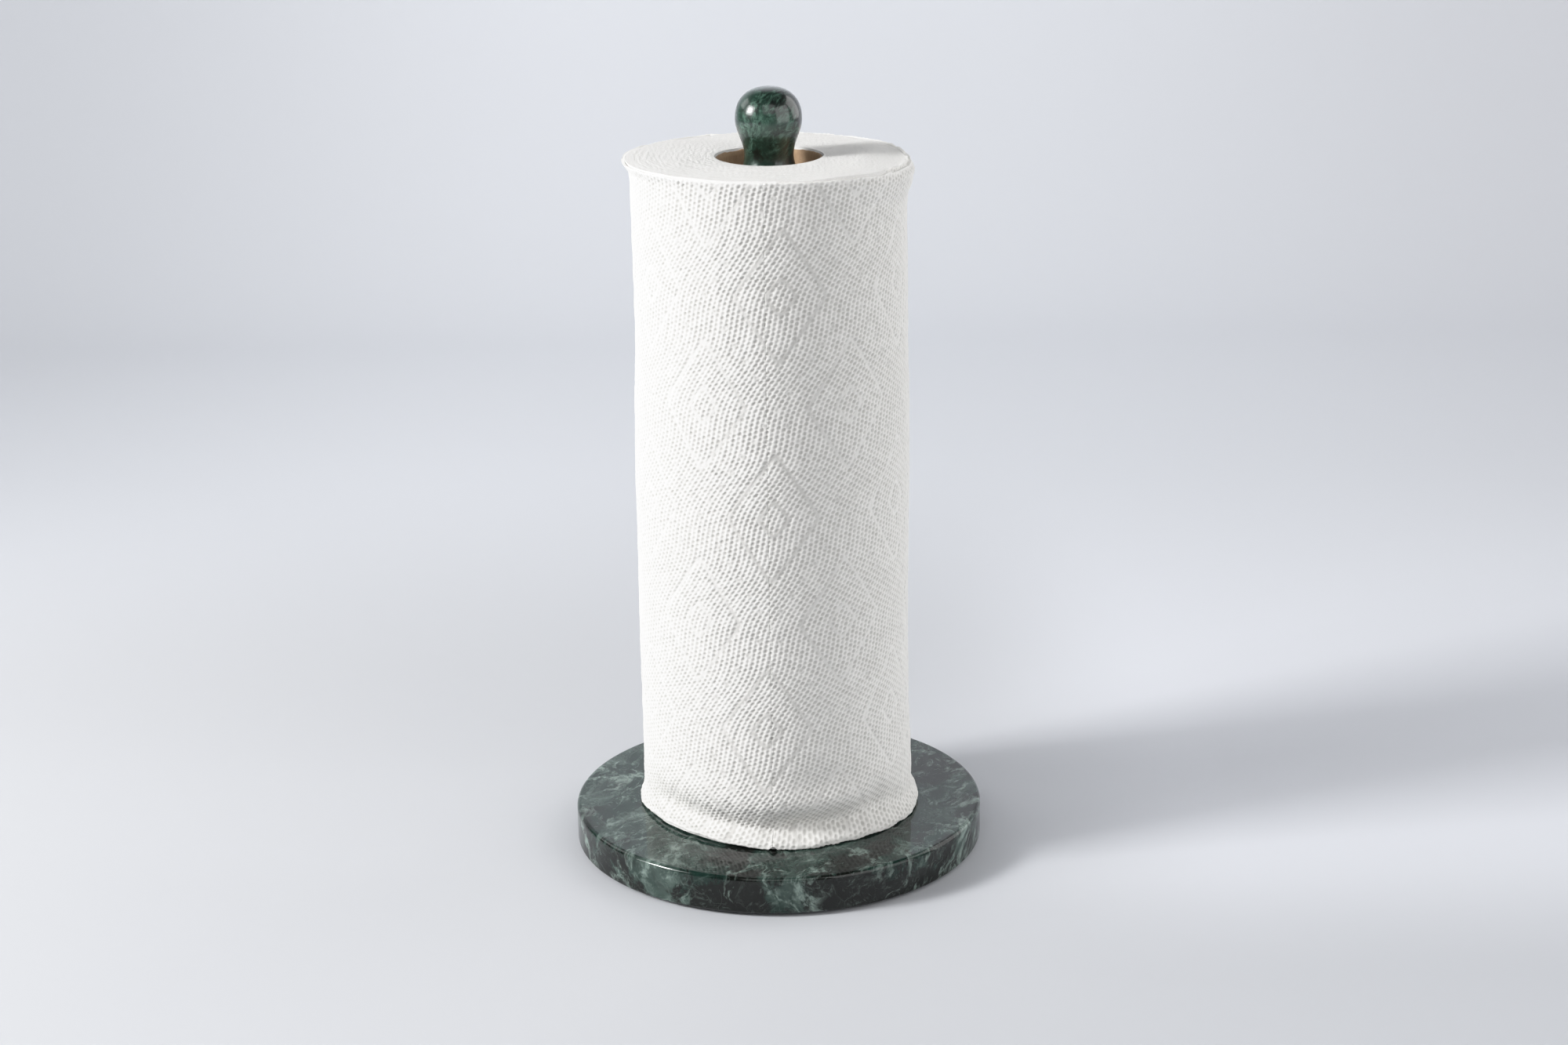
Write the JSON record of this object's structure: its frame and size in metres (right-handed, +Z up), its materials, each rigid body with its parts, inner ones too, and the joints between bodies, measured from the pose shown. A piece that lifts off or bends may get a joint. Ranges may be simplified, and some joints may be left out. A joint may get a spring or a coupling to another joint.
{
  "type": "paper towel holder",
  "caption": "Countertop paper towel holder: round polished marble base, turned marble post with a ball knob, and a roll of embossed paper towels that spins and lifts off.",
  "frame": {"origin": "on the post's axis, in the plane of the pads' undersides", "axes": "+Z up along the post; -Y is the front, where the perforation between the two outermost sheets is. The roll's free edge is at the back, on the right"},
  "size_m": [0.175, 0.175, 0.3247],
  "materials": {
    "marble": "polished, dark green with pale veins",
    "steel": "zinc plated",
    "fibre": "matt red vulcanised fibre",
    "rubber": "matt",
    "core_board": "matt brown board",
    "wound_paper": "matt white paper, seen on its edges",
    "sheet_paper": "matt white, embossed"
  },
  "bodies": {
    "holder": {"base": "marble", "post": "marble", "threaded_stud": "steel", "fibre_washer": "fibre", "flat_washer": "steel", "lock_washer": "steel", "hex_nut": "steel", "pad_1": "rubber", "pad_2": "rubber", "pad_3": "rubber", "pad_4": "rubber"},
    "roll_core": {"core": "core_board"},
    "roll_paper": {"windings": "wound_paper", "sheet_1": "sheet_paper", "sheet_2": "sheet_paper", "sheet_3": "sheet_paper"}
  },
  "joints": [
    {"name": "roll_lift", "type": "slide", "parent": "holder", "child": "roll_core", "axis": [0, 0, 1], "range_m": [0, 0.315]},
    {"name": "roll_spin", "type": "hinge", "parent": "roll_core", "child": "roll_paper", "pos_m": [0, 0, 0.1575], "axis": [0, 0, 1], "continuous": true}
  ]
}
